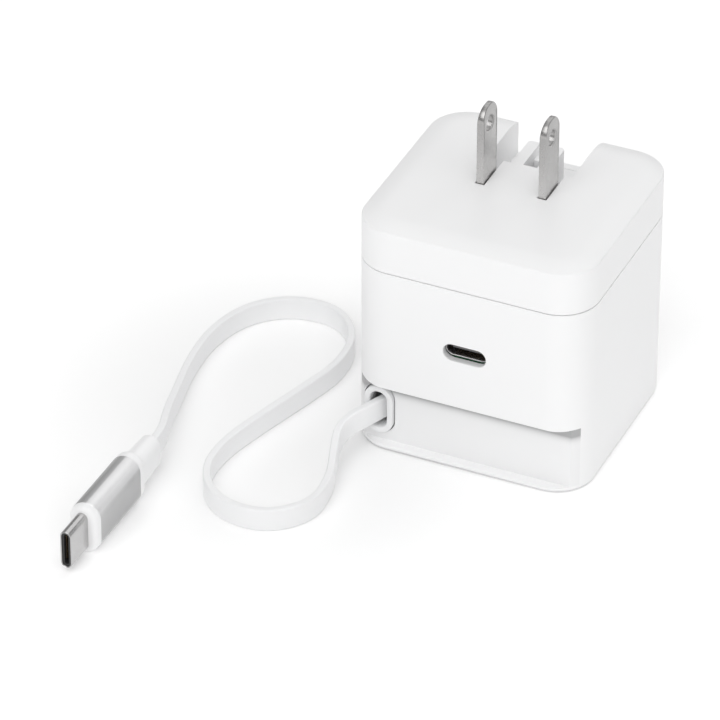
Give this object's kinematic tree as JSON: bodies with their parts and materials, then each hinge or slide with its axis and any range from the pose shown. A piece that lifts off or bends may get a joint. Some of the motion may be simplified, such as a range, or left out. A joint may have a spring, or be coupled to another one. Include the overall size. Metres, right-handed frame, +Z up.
{
  "type": "laptop power adapter",
  "caption": "Cube-shaped wall charger with a folding two-blade plug, a socket on the front and a flat lead that reels in and ends in a reversible connector.",
  "frame": {"origin": "middle of the underside, which the charger stands on", "axes": "+X right along the front face, +Y towards the back, +Z up towards the plug blades"},
  "size_m": [0.0859, 0.1058, 0.0669],
  "materials": {
    "housing_white": "satin white polycarbonate, fine moulded grain",
    "accent_white": "smooth white plastic",
    "cable_white": "matt white thermoplastic elastomer",
    "blade_nickel": "nickel plated, fine lengthwise brush",
    "plug_nickel": "nickel plated, smooth",
    "sleeve_aluminium": "bead blasted and anodised",
    "black_plastic": "black insulator",
    "carrier_plastic": "glass filled nylon",
    "contact_copper": "gold plated contact",
    "steel": "plain steel",
    "spring_steel": "blued spring strip",
    "board_green": "solder mask",
    "ferrite": "sintered ferrite",
    "tape_yellow": "polyester tape",
    "capacitor_sleeve": "shrunk sleeve",
    "wire_blue": "wire insulation",
    "heat_aluminium": "mill finish sheet"
  },
  "bodies": {
    "root": {"main_housing": "housing_white", "top_cap": "housing_white", "base_cover": "housing_white", "cable_eyelet": "accent_white", "plug_tray": "housing_white", "detent_spring": "spring_steel", "blade_contacts": "contact_copper", "mains_leads": "wire_blue", "reel_spring": "spring_steel", "inner_lead": "cable_white", "reel_post": "steel", "slip_ring_board": "board_green", "slip_rings": "contact_copper", "mid_deck": "carrier_plastic", "deck_screws": "steel", "main_board": "board_green", "transformer_core": "ferrite", "transformer_winding": "tape_yellow", "bulk_capacitors": "capacitor_sleeve", "output_capacitors": "capacitor_sleeve", "line_choke": "ferrite", "fuse_body": "black_plastic", "rectifier": "black_plastic", "power_chips": "black_plastic", "heat_spreader": "heat_aluminium", "socket_shell": "plug_nickel", "socket_tongue": "black_plastic", "socket_contacts": "contact_copper", "socket_board": "board_green", "riser_pins": "contact_copper", "flat_cable": "cable_white", "strain_relief": "accent_white", "rear_collar": "accent_white", "connector_sleeve": "sleeve_aluminium", "front_collar": "accent_white", "plug_shell": "plug_nickel", "plug_liner": "black_plastic", "plug_contacts": "contact_copper", "connector_board": "board_green"},
    "plug": {"blade_left": "blade_nickel", "blade_right": "blade_nickel", "blade_carrier": "carrier_plastic", "hinge_pin": "steel", "pin_washers": "steel"},
    "reel": {"reel_spool": "carrier_plastic", "spring_cover": "carrier_plastic", "wound_cable": "cable_white", "slip_wipers": "contact_copper"},
    "latch": {"latch_ball": "steel"}
  },
  "joints": [
    {"name": "plug_fold", "type": "hinge", "parent": "root", "child": "plug", "pos_m": [0, 0.00165, 0.0466], "axis": [-1, 0, 0], "range_deg": [0, 90]},
    {"name": "reel_spin", "type": "hinge", "parent": "root", "child": "reel", "pos_m": [0, 0.0012, 0], "axis": [0, 0, 1], "range_deg": [-700, 1440]},
    {"name": "latch_slide", "type": "slide", "parent": "root", "child": "latch", "axis": [1, 0, 0], "range_m": [-0.001, 0.001]}
  ]
}
